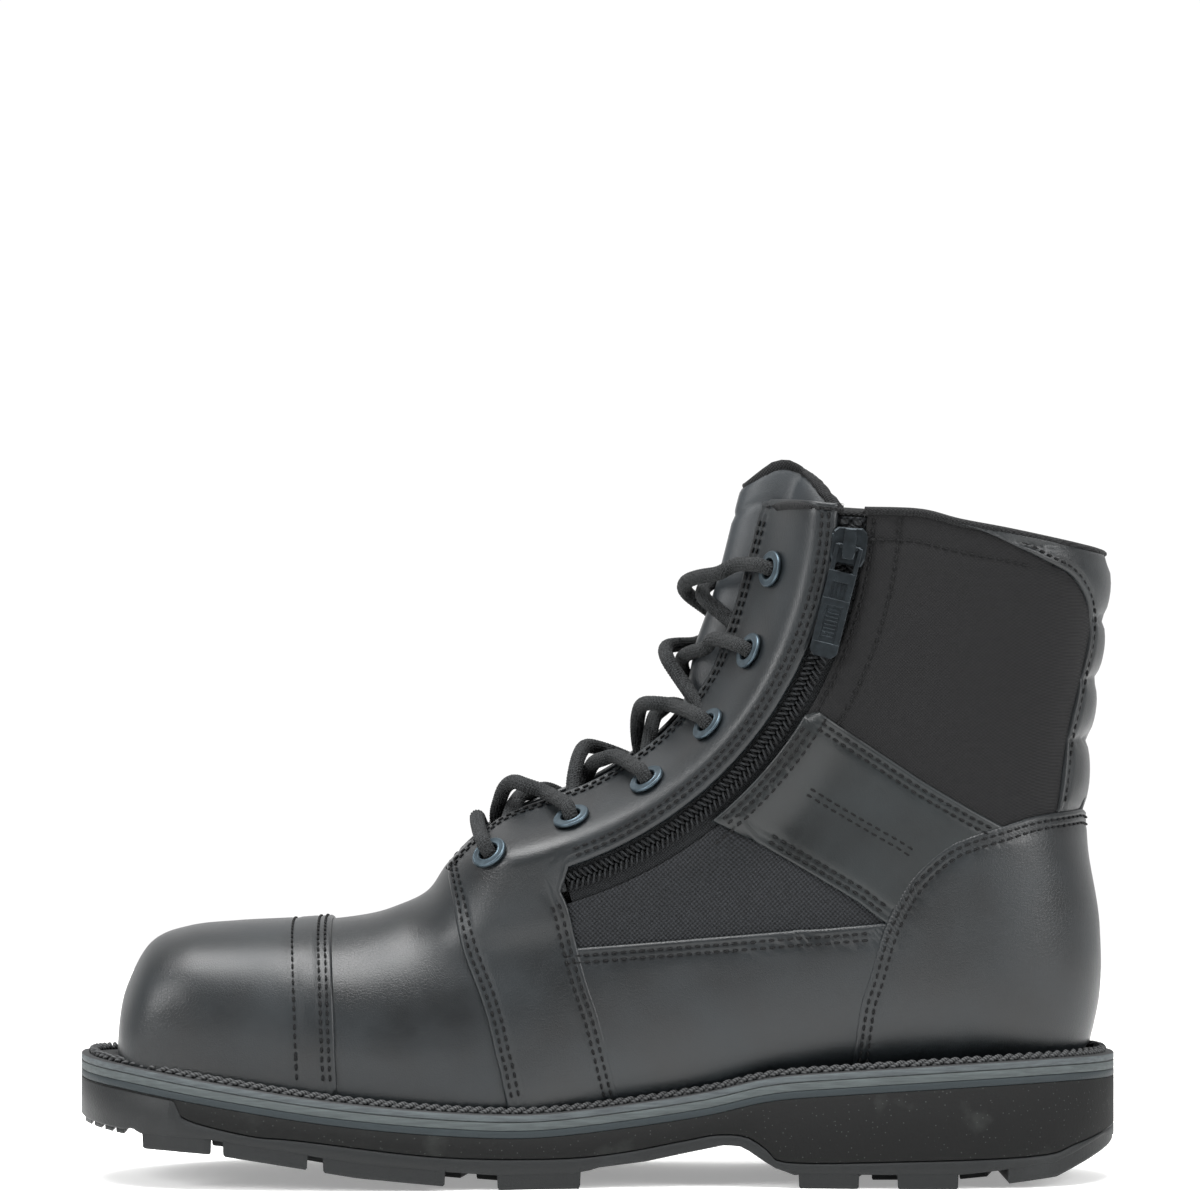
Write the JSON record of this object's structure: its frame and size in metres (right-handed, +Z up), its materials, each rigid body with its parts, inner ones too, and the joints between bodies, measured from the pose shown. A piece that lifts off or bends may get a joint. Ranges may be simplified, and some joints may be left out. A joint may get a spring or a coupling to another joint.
{
  "type": "lace-up work boot",
  "caption": "Black leather lace-up station boot with a side zip, toe cap cover, padded collar, stitched welt and lugged sole.",
  "frame": {"origin": "on the ground at the middle of the boot's bounding box", "axes": "+Z up, -X towards the toe, -Y towards the zip side, which is the inner side of this right boot"},
  "size_m": [0.3084, 0.1066, 0.2147],
  "materials": {
    "leather": "smooth finished full-grain, semi-matt",
    "strap_leather": "smooth finished, semi-matt",
    "textile": "heavy woven nylon",
    "lining": "brushed moisture-wicking mesh",
    "foam": "open-cell padding",
    "steel": "pressed and painted inside",
    "leatherboard": "sanded edge",
    "eva": "foamed, fine speck",
    "rubber": "moulded matt",
    "thread": "bonded nylon",
    "lace_cord": "round braided polyester",
    "zip_coil": "nylon coil",
    "zip_tape": "woven tape",
    "eyelet_metal": "enamelled, satin",
    "slider_metal": "black enamelled, semi-gloss"
  },
  "bodies": {
    "boot": {"ankle_strap_inner": "strap_leather", "ankle_strap_outer": "strap_leather", "bottom_filler": "leatherboard", "collar_foam": "foam", "collar_panel_inner": "textile", "collar_panel_outer": "textile", "eyelet_inner_1": "eyelet_metal", "eyelet_inner_2": "eyelet_metal", "eyelet_inner_3": "eyelet_metal", "eyelet_inner_4": "eyelet_metal", "eyelet_inner_5": "eyelet_metal", "eyelet_inner_6": "eyelet_metal", "eyelet_outer_1": "eyelet_metal", "eyelet_outer_2": "eyelet_metal", "eyelet_outer_3": "eyelet_metal", "eyelet_outer_4": "eyelet_metal", "eyelet_outer_5": "eyelet_metal", "eyelet_outer_6": "eyelet_metal", "eyestay_quarter_inner": "leather", "eyestay_quarter_outer": "leather", "footbed": "lining", "heel_cover": "leather", "heel_stiffener": "leatherboard", "insole_board": "leatherboard", "lace_inner_half": "lace_cord", "lace_outer_half": "lace_cord", "leatherboard_midsole": "leatherboard", "lower_quarter_inner": "leather", "lower_quarter_outer": "leather", "mesh_panel_inner": "textile", "mesh_panel_outer": "textile", "midsole_wedge": "eva", "outsole": "rubber", "quarter_lining": "lining", "quilted_backstay": "leather", "safety_toe_cap": "steel", "shank": "steel", "slip_sole": "rubber", "toe_leather": "leather", "tongue": "leather", "tongue_lining": "lining", "vamp": "leather", "vamp_interlining": "foam", "vamp_lining": "lining", "welt": "leatherboard", "welt_stitch": "thread", "zip_bottom_stop": "zip_coil", "zip_coil_front": "zip_coil", "zip_coil_rear": "zip_coil", "zip_gusset": "zip_tape", "zip_tape_front": "zip_tape", "zip_tape_rear": "zip_tape", "zip_top_stop_front": "zip_coil", "zip_top_stop_rear": "zip_coil"},
    "slider": {"zip_slider": "slider_metal"},
    "pull": {"zip_pull": "slider_metal"}
  },
  "joints": [
    {"name": "zip_slide", "type": "hinge", "parent": "boot", "child": "slider", "pos_m": [-0.044, -0.041, 0.2029], "axis": [0, 1, 0], "range_deg": [0, 60]},
    {"name": "pull_flip", "type": "hinge", "parent": "slider", "child": "pull", "pos_m": [0.07353, -0.0437, 0.18778], "axis": [-0.9703, 0, 0.2419], "range_deg": [0, 150]}
  ]
}
